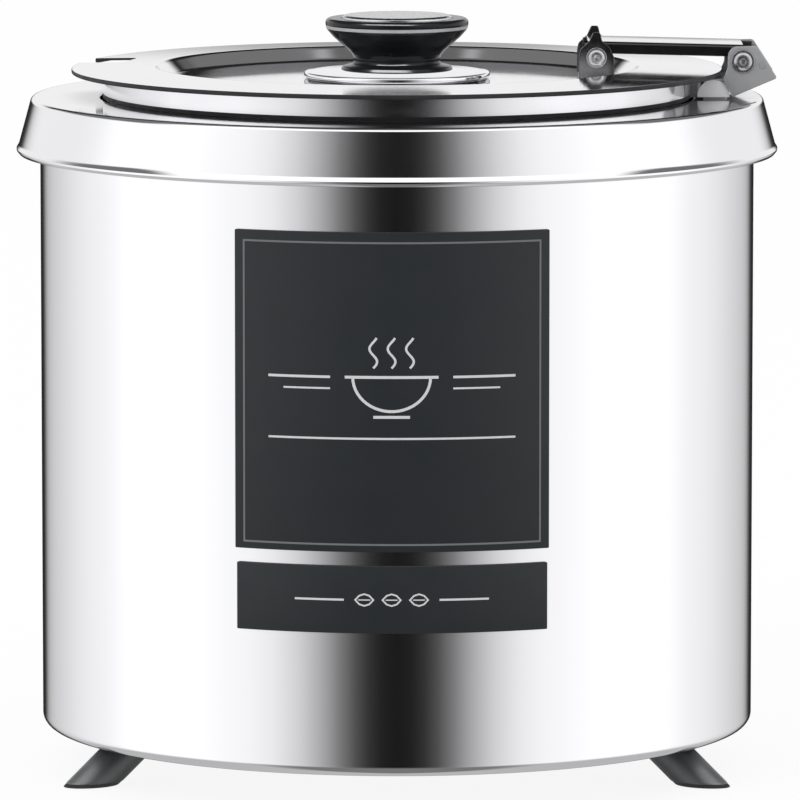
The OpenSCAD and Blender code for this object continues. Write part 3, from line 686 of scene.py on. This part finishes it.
ear_pin = pin_with_heads("ear_pin_set", *EAR, reach=21.0, r=2.5, head_r=3.8, head_h=1.8)
piece(ear_pin, "lid", "fastener_steel", "ear_pin")
ear_washers = washer_pair("ear_washer_set", *EAR, y=20.4, r_in=2.6, r_out=4.6, thick=0.6)
piece(ear_washers, "lid", "fastener_steel", "ear_washers")
rivets = [lathe("rivet", rivet(1.55, 2.6, 1.0, 1.4), M["fastener"], (x, y, RECESS_Z + 1.64), (0, 0, 1), 40)
          for x in (EAR[0] - 5, EAR[0] + 5) for y in (-10, 10)]
piece(join("ear_rivet_set", rivets), "lid", "fastener_steel", "ear_rivets")


# ---------------------------------------------------------------- hinge arm and bracket

span = Vector((EAR[0] - HINGE[0], EAR[1] - HINGE[1]))
ARM_LEN = span.length
ARM_TILT = math.atan2(EAR[1] - HINGE[1], HINGE[0] - EAR[0])
LOBE_R = 5.5                       # rounded ends of the arm's sides, around both pins
arm_place = Matrix.Translation(Vector((HINGE[0], 0, HINGE[1])) * MM) @ Matrix.Rotation(ARM_TILT, 4, "Y")


def arm_cross_section():
    """Half of the channel: along the top, round the bend and down the side, then back along the inside."""
    return rounded([(0, 7.2), (18, 7.2, 1.7), (18, 1.8, 0.3), (16.5, 1.8, 0.3), (16.5, 5.7, 0.5), (0, 5.7)],
                   closed=False)


def make_arm():
    """The strap, drawn along -X from the hinge pin and then turned to meet the pin in the ears."""
    bm = bmesh.new()
    half = arm_cross_section()
    ring = [(y, z) for y, z in half] + [(-y, z) for y, z in reversed(half)][1:-1]
    stations = [-ARM_LEN - 4, -ARM_LEN - 3.8, -ARM_LEN * 0.75, -ARM_LEN * 0.5, -ARM_LEN * 0.25, -0.2, 0]
    skin(bm, [[bm.verts.new((x * MM, y * MM, z * MM)) for y, z in ring] for x in stations])
    channel = finish_mesh("channel", bm, M["arm"])
    # Painted reflection: the strap's upright sides take the dark steel in place of the dark they reflect; the
    # top stays polished.
    channel.data.materials.append(M["ear"])
    for face in channel.data.polygons:
        if abs(face.normal.y) > 0.45:
            face.material_index = 1
    lobe = [(-LOBE_R, 6.2), (-LOBE_R, 0)] + arc(0, 0, LOBE_R, 180, 360) + [(LOBE_R, 6.2)]
    # The lobes are the strap's sides round the pins: dark steel as painted reflection too.
    lobes = [plate("lobe", lobe, 1.5, M["ear"], on_y(x, y, 0), edge=0.25)
             for x in (0, -ARM_LEN) for y in (-16.5, 18)]
    arm = join("strap_arm", [channel] + lobes)
    arm.data.transform(arm_place)
    return arm


piece(make_arm(), "arm", "hinge_steel", "hinge_arm")

BRACKET_X, BRACKET_Z = 135.5, 307.0    # inner face and lower edge of the bracket's web
BRACKET_HALF = 19.4                    # half of its width
END_R = 7.3                            # half-round plates that close the web's ends
hx, hz = HINGE
cheek_outline = rounded([
    (hx - 6.6, hz + 6.6, 4.5), (hx + 6.2, hz + 6.9, 2.2), (hx + 15.6, hz - 7.6, 1.0),
    (hx - 4.7, hz - 16.2, 1.0), (hx - 9.1, hz - 8.4, 1.0), (hx - 6.9, hz - 3, 2)])
sides = [plate("cheek", cheek_outline, 2, M["cheek"], on_y(0, y, 0), edge=0.4) for y in (-19, 21)]
web = rounded([(0, -BRACKET_HALF), (17, -BRACKET_HALF, 1), (17, BRACKET_HALF, 1), (0, BRACKET_HALF)])
flat = Matrix.Translation(Vector((BRACKET_X, 0, 313.88)) * MM)
sides.append(plate("web", web, HINGE_SHEET, M["cheek"], flat, edge=0.3))
back = [(0, -BRACKET_HALF), (8.5, -BRACKET_HALF), (8.5, BRACKET_HALF), (0, BRACKET_HALF)]
stand = Matrix(((0, 0, 1, BRACKET_X * MM), (0, 1, 0, 0), (1, 0, 0, BRACKET_Z * MM), (0, 0, 0, 1)))
sides.append(plate("back", back, HINGE_SHEET, M["cheek"], stand, edge=0.3))
web_end = ([(BRACKET_X, BRACKET_Z)] + arc(BRACKET_X + END_R, BRACKET_Z + 0.6, END_R, 180, 0)
           + [(BRACKET_X + 2 * END_R, BRACKET_Z)])
# Painted reflection: the web's end plates take matt near-white in place of bright steel.
sides += [plate("web_end", web_end, HINGE_SHEET, M["end"], on_y(0, y, 0), edge=0.3)
          for y in (-17.9, 19.5)]
piece(join("hinge_cheeks", sides), "pot", "hinge_steel", "hinge_bracket")

hinge_pin = pin_with_heads("hinge_pin_set", hx, hz, reach=21.9, r=2.5, head_r=4.2, head_h=1.7)
piece(hinge_pin, "pot", "fastener_steel", "hinge_pin")
hinge_washers = washer_pair("hinge_washer_set", hx, hz, y=21.0, r_in=2.6, r_out=5.2, thick=0.8)
piece(hinge_washers, "pot", "fastener_steel", "hinge_washers")
STOP_R, STOP_HALF = 1.5, 21.4
stop_profile = rounded([(0, -STOP_HALF), (STOP_R, -STOP_HALF, 0.4), (STOP_R, STOP_HALF, 0.4), (0, STOP_HALF)],
                       closed=False)
stop = lathe("stop_pin_set", stop_profile, M["cheek"], (hx + 8.8, 0, hz - 1.9), (0, 1, 0), 48)
piece(stop, "pot", "fastener_steel", "stop_pin")


# ---------------------------------------------------------------- labels

LARGE_Z, LARGE_H, LARGE_ACROSS = 120.0, 140.4, 137.8    # lower edge, height, width straight across
STRIP_Z, STRIP_H, STRIP_ACROSS = 84.1, 29.7, 136.4
LARGE_W, STRIP_W = (
    2 * LABEL_FACE * math.asin(across / 2 / LABEL_FACE) for across in (LARGE_ACROSS, STRIP_ACROSS))
large = curved_plate("large_label", LABEL_BACK, LABEL_FACE, LARGE_W, LARGE_Z, LARGE_Z + LARGE_H,
                     LABEL_CORNER, M["label"], LABEL_AZIMUTH)
strip = curved_plate("narrow_label", LABEL_BACK, LABEL_FACE, STRIP_W, STRIP_Z, STRIP_Z + STRIP_H,
                     LABEL_CORNER, M["label"], LABEL_AZIMUTH)
piece(large, "large_label", "label_vinyl", "main_label")
piece(strip, "small_label", "label_vinyl", "strip_label")


def print_line(bm, points, width, closed=False):
    """A line printed on a label's face."""
    ribbon(bm, points, width, LABEL_FACE + 0.01, centre=LABEL_AZIMUTH, closed=closed)


def print_large():
    """A thin border, and a steaming bowl between rules: a plain pictogram in place of any lettering."""
    border = bmesh.new()
    half, z0, z1 = LARGE_W / 2 - 4.5, LARGE_Z + 3.3, LARGE_Z + LARGE_H - 4.6
    corners = [(-half, z0), (half, z0), (half, z1), (-half, z1)]
    outline = [p for a, b in zip(corners, corners[1:] + corners[:1]) for p in straight(a, b)[:-1]]
    print_line(border, outline, 0.85, closed=True)
    art = bmesh.new()
    rim = 197.0
    print_line(art, arc(0, rim, 17, 180, 360, 15), 1.25)
    print_line(art, straight((-20.5, rim), (20.5, rim)), 1.25)
    print_line(art, straight((-8, rim - 17.5), (8, rim - 17.5)), 1.25)
    for x in (-8, 0, 8):
        steam = [(x + 1.7 * math.sin(k / 12 * FULL_TURN), rim + 4 + k * 0.95) for k in range(15)]
        print_line(art, steam, 1.0)
    for side in (-1, 1):
        print_line(art, straight((side * 27, rim), (side * 55, rim)), 1.1)
        print_line(art, straight((side * 27, rim - 5), (side * 48, rim - 5)), 0.8)
    print_line(art, straight((-55, rim - 27), (55, rim - 27)), 0.9)
    ring = finish_mesh("label_border", border, M["print_line"])
    return ring, finish_mesh("label_pictogram", art, M["print"])


def print_strip():
    """Three leaves between two rules."""
    art = bmesh.new()
    mid = STRIP_Z + STRIP_H / 2
    edge = ((-4, 0), (-2.2, 1.9), (0, 2.6), (2.2, 1.9), (4, 0), (2.2, -1.9), (0, -2.6), (-2.2, -1.9))
    for x in (-12, 0, 12):
        print_line(art, [(x + a, mid + b) for a, b in edge], 0.7, closed=True)
        print_line(art, straight((x - 2.6, mid), (x + 2.6, mid), 1.5), 0.5)
    for side in (-1, 1):
        print_line(art, straight((side * 21, mid), (side * 43, mid)), 0.9)
    return finish_mesh("strip_pictogram", art, M["print"])


for printed in print_large():
    piece(printed, "large_label", "label_vinyl")
piece(print_strip(), "small_label", "label_vinyl")


# ---------------------------------------------------------------- controls at the rear

panel = curved_plate("control_panel", SHELL_R + 0.02, PANEL_FACE, 95.5, 26, 74, 3.0, M["satin"], centre=90,
                     edge=0.3)
for hole in (DIAL_HOLE, LAMP_HOLE):
    drill(panel, *hole)
piece(panel, "base", "shell_steel", "control_plate")


def print_panel(bm, points, width):
    """A line printed on the control plate."""
    ribbon(bm, points, width, PANEL_FACE + 0.01, 0.06, centre=90)


def print_scale():
    """Eleven ticks around the dial, longer at both ends, and a power sign."""
    bm = bmesh.new()
    last = 10
    for k in range(last + 1):
        angle = math.radians(-60 + 30 * k)
        length, width = (3.4, 0.9) if k in (0, last) else (2.2, 0.5)
        tick = [(r * math.cos(angle), DIAL_Z + r * math.sin(angle)) for r in (19.4, 19.4 + length)]
        print_panel(bm, tick, width)
    print_panel(bm, arc(-30, DIAL_Z, 4.2, 60, 360), 0.7)
    print_panel(bm, straight((-30, DIAL_Z + 2), (-30, DIAL_Z + 5.4), 1.5), 0.7)
    return finish_mesh("dial_scale", bm, M["black"])


piece(print_scale(), "base", "black_plastic")

DIAL_FOOT = SHELL_R + 1.4          # where the dial's underside stands off the control plate


def dial_grip(angle, height):
    """Shallow flutes around the dial."""
    return 1.0 - 0.022 * (0.5 + 0.5 * math.cos(24 * angle)) if 3.5 < height < 8.2 else 1.0


grip = lathe("dial_grip", supported(rounded([
    (3.2, 0), (17, 0, 0.4), (17, 1.8, 0.8), (15.2, 3.2, 0.8), (14.2, 4.2, 0.5), (13.9, 8.0, 0.6),
    (13.2, 8.9, 0.8), (11, 8.7, 1), (0, 8.5)], closed=False), closed=False, reach=0.25), M["black"],
    (0, DIAL_FOOT, DIAL_Z), (0, 1, 0), 192, dial_grip)
on_dial = Matrix(((1, 0, 0, 0), (0, 0, 1, (DIAL_FOOT + 8.62) * MM), (0, 1, 0, DIAL_Z * MM), (0, 0, 0, 1)))
marker = plate("marker", rounded([(-0.7, 4, 0.3), (0.7, 4, 0.3), (0.7, 12.4, 0.3), (-0.7, 12.4, 0.3)]), 0.25,
               M["print"], on_dial, edge=0.05)
piece(join("dial_handle", [grip, marker]), "dial", "black_plastic", "control_knob")


def lens_flutes(angle, height):
    """Shallow flutes around the lens."""
    return 1.0 - 0.03 * (0.5 + 0.5 * math.cos(16 * angle)) if height > 1.9 else 1.0


origin, axis = radial(LAMP_HOLE[0], SHELL_R + 1.1, DIAL_Z)
bezel = lathe("bezel", rounded([(3.9, 0), (6.0, 0, 0.2), (6.0, 1.2, 0.5), (4.6, 1.9, 0.3), (3.9, 1.5)]),
              M["fastener"], origin, axis, 64)
lens = lathe("lens", [(0, 0), (4.4, 0), (4.4, 1.9), (4.1, 2.9), (3.4, 4.0), (2.4, 5.0), (1.2, 5.6), (0, 5.8)],
             M["lens"], origin, axis, 64, lens_flutes)
piece(join("lamp_dome", [bezel, lens]), "base", "amber_lens", "lamp_lens")

origin, axis = radial(GLAND_HOLE[0], 148, GLAND_HOLE[1])
gland = lathe("gland_tube", rounded([
    (4, 0, 0.2), (6, 0, 0.3), (6, 14.2), (9, 14.4, 0.4), (9, 20.4, 0.8), (6.6, 21.4, 0.6), (6, 23.3, 0.8),
    (4.02, 23.3, 0.5)]), M["black"], origin, axis, 96)
piece(gland, "base", "black_plastic", "cable_gland")


# ---------------------------------------------------------------- carried-over nodes

KEPT = {
    "satin": ["base_cover", "hinge_saddle", "element_clamp"],
    "pot": ["locating_ring"],
    "fastener": ["base_screws", "foot_screws", "saddle_screws", "earth_stud", "thermostat_shaft", "knob_nut"],
    "wool": ["insulation"],
    "cast": ["heat_plate"],
    "sheath": ["heating_element"],
    "brass": ["plate_nuts", "thermostat_bulb", "knob_stud"],
    "ivory": ["thermostat_body", "terminal_block"],
    "black": ["thermal_cutout", "lamp_body", "gland_nut"],
}
for key, names in KEPT.items():
    for node in names:
        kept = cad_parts[node]
        for slot in kept.material_slots:
            slot.material = M[key]
        if not kept.material_slots:
            kept.data.materials.append(M[key])


# ---------------------------------------------------------------- studio

def math_node(tree, operation, *values):
    """A math node whose inputs are plain numbers or the outputs of other nodes."""
    node = tree.nodes.new("ShaderNodeMath")
    node.operation = operation
    for socket, value in zip(node.inputs, values):
        if isinstance(value, (int, float)):
            socket.default_value = value
        else:
            tree.links.new(value, socket)
    return node.outputs[0]


def smooth_step(tree, angle, start, end):
    """0 below the first angle and 1 above the second, in degrees, with a soft change between them."""
    node = tree.nodes.new("ShaderNodeMapRange")
    node.interpolation_type = "SMOOTHSTEP"
    node.inputs["From Min"].default_value = math.radians(start)
    node.inputs["From Max"].default_value = math.radians(end)
    tree.links.new(angle, node.inputs["Value"])
    return node.outputs["Result"]


def blend_values(tree, factor, a, b):
    """a where the factor is 0 and b where it is 1."""
    share_a = math_node(tree, "MULTIPLY", a, math_node(tree, "SUBTRACT", 1.0, factor))
    share_b = math_node(tree, "MULTIPLY", b, factor)
    return math_node(tree, "ADD", share_a, share_b)


WALL_LIGHT = [                     # degrees away from the camera's side, and the tent wall's brightness there
    (0, 0.010), (5, 0.015), (9, 0.034), (13, 0.08), (18, 0.20), (24, 0.42), (31.5, 0.68), (40, 0.89),
    (48, 0.99), (57, 1.04), (66, 1.10), (98, 1.10), (108, 0.98), (118, 0.92), (126, 0.85), (135, 0.75),
    (147, 0.63), (153, 0.53), (157, 0.38), (160.5, 0.15), (164, 0.03), (180, 0.006)]


def wall_ramp(tree, around):
    """The brightness of the tent's wall, by how far round it is: 0 at the camera's side and 1 opposite."""
    ramp = tree.nodes.new("ShaderNodeValToRGB")
    ramp.color_ramp.interpolation = "LINEAR"
    elements = ramp.color_ramp.elements
    for stop, (angle, value) in zip(elements, (WALL_LIGHT[0], WALL_LIGHT[-1])):
        stop.position, stop.color = angle / 180, (value, value, value, 1)
    for angle, value in WALL_LIGHT[1:-1]:
        elements.new(angle / 180).color = (value, value, value, 1)
    tree.links.new(around, ramp.inputs["Fac"])
    return ramp.outputs["Color"]


def build_world():
    """The white tent that the steel reflects: dark behind the camera, dim overhead and high at the back."""
    world = bpy.data.worlds.new("studio")
    bpy.context.scene.world = world
    world.use_nodes = True
    tree = world.node_tree
    tree.nodes.clear()
    place = tree.nodes.new("ShaderNodeTexCoord")
    split = tree.nodes.new("ShaderNodeSeparateXYZ")
    tree.links.new(place.outputs["Generated"], split.inputs[0])
    x, y, z = split.outputs
    turned = math_node(tree, "ARCTAN2", x, math_node(tree, "MULTIPLY", y, -1.0))
    azimuth = math_node(tree, "ABSOLUTE", turned)
    elevation = math_node(tree, "ARCSINE", z)
    wall = wall_ramp(tree, math_node(tree, "DIVIDE", azimuth, math.pi))

    def round_to(start, end):
        return smooth_step(tree, azimuth, start, end)

    def above(start, end):
        return smooth_step(tree, elevation, start, end)

    def both(a, b):
        return math_node(tree, "MULTIPLY", a, b)

    side = round_to(78, 96)
    front = math_node(tree, "SUBTRACT", 1.0, side)
    ground = math_node(tree, "SUBTRACT", 1.0, above(-34, -20))
    underside = blend_values(tree, round_to(34, 58), 0.19, 0.5)
    horizon = blend_values(tree, both(round_to(100, 125), above(-1, 4)), wall, 0.90)
    grounded = blend_values(tree, ground, horizon, underside)
    flanked = blend_values(tree, both(side, above(17, 27)), grounded, 0.17)
    dimmed = blend_values(tree, both(round_to(143, 156), above(13, 20)), flanked, 0.015)
    lit = blend_values(tree, both(front, above(31, 39)), dimmed, 1.22)
    glossy = blend_values(tree, above(66, 74), lit, 0.13)
    rays = tree.nodes.new("ShaderNodeLightPath")
    chosen = blend_values(tree, rays.outputs["Is Glossy Ray"], 1.12, glossy)
    background = tree.nodes.new("ShaderNodeBackground")
    tree.links.new(chosen, background.inputs["Color"])
    output = tree.nodes.new("ShaderNodeOutputWorld")
    tree.links.new(background.outputs[0], output.inputs["Surface"])


def soft_light(name, location, target, size, power):
    data = bpy.data.lights.new(name, "AREA")
    data.shape = "RECTANGLE"
    data.size, data.size_y = size
    data.energy = power
    light = bpy.data.objects.new(name, data)
    light.location = location
    light.rotation_euler = (Vector(target) - Vector(location)).to_track_quat("-Z", "Y").to_euler()
    light.visible_camera = False
    bpy.context.scene.collection.objects.link(light)
    return light


def build_floor():
    bm = bmesh.new()
    bmesh.ops.create_grid(bm, x_segments=24, y_segments=24, size=30)
    floor = finish_mesh("studio_floor", bm, build_floor_material())
    floor.location = (0, 0, -0.0002)
    floor.visible_glossy = False


def build_floor_material():
    """White paper that mostly glows, so that the ground stays white around the contact shadows."""
    mat = build_material("studio_paper", colour=(0.80, 0.80, 0.80), colour_2=(0.79, 0.79, 0.79),
                         rough=(0.8, 0.9), noise=3, specular=0.0)
    tree = mat.node_tree
    shader = tree.nodes["Principled BSDF"]
    glow = tree.nodes.new("ShaderNodeEmission")
    glow.inputs["Color"].default_value = (1, 1, 1, 1)
    glow.inputs["Strength"].default_value = 1.0
    mix = tree.nodes.new("ShaderNodeMixShader")
    mix.inputs["Fac"].default_value = 0.9
    tree.links.new(shader.outputs[0], mix.inputs[1])
    tree.links.new(glow.outputs[0], mix.inputs[2])
    tree.links.new(mix.outputs[0], tree.nodes["Material Output"].inputs["Surface"])
    return mat


build_world()
build_floor()
key = soft_light("key_panel", location=(-1.6, -2.2, 2.4), target=(0, 0, 0.2), size=(1.6, 1.2), power=26)
key.visible_glossy = False
rim = soft_light("knob_panel", location=(-0.25, -0.8, 1.55), target=(0, 0, 0.34), size=(1.9, 0.5), power=90)
rim.visible_diffuse = False
rim_targets = bpy.data.collections.new("knob_panel_targets")
rim_targets.objects.link(knob)
rim.light_linking.receiver_collection = rim_targets

PITCH = math.radians(7.035)        # how far the camera looks down
DISTANCE = 3.781
AIM = Vector((0.00138, 0, 0.167))
camera_data = bpy.data.cameras.new("camera")
camera_data.lens = 373.4
camera_data.sensor_width = 36
camera_data.clip_end = 100
camera = bpy.data.objects.new("camera", camera_data)
camera.location = AIM + DISTANCE * Vector((0, -math.cos(PITCH), math.sin(PITCH)))
camera.rotation_euler = (math.pi / 2 - PITCH, 0, 0)
bpy.context.scene.collection.objects.link(camera)
bpy.context.scene.camera = camera
bpy.context.scene.view_settings.view_transform = "Standard"


bpy.context.view_layer.update()
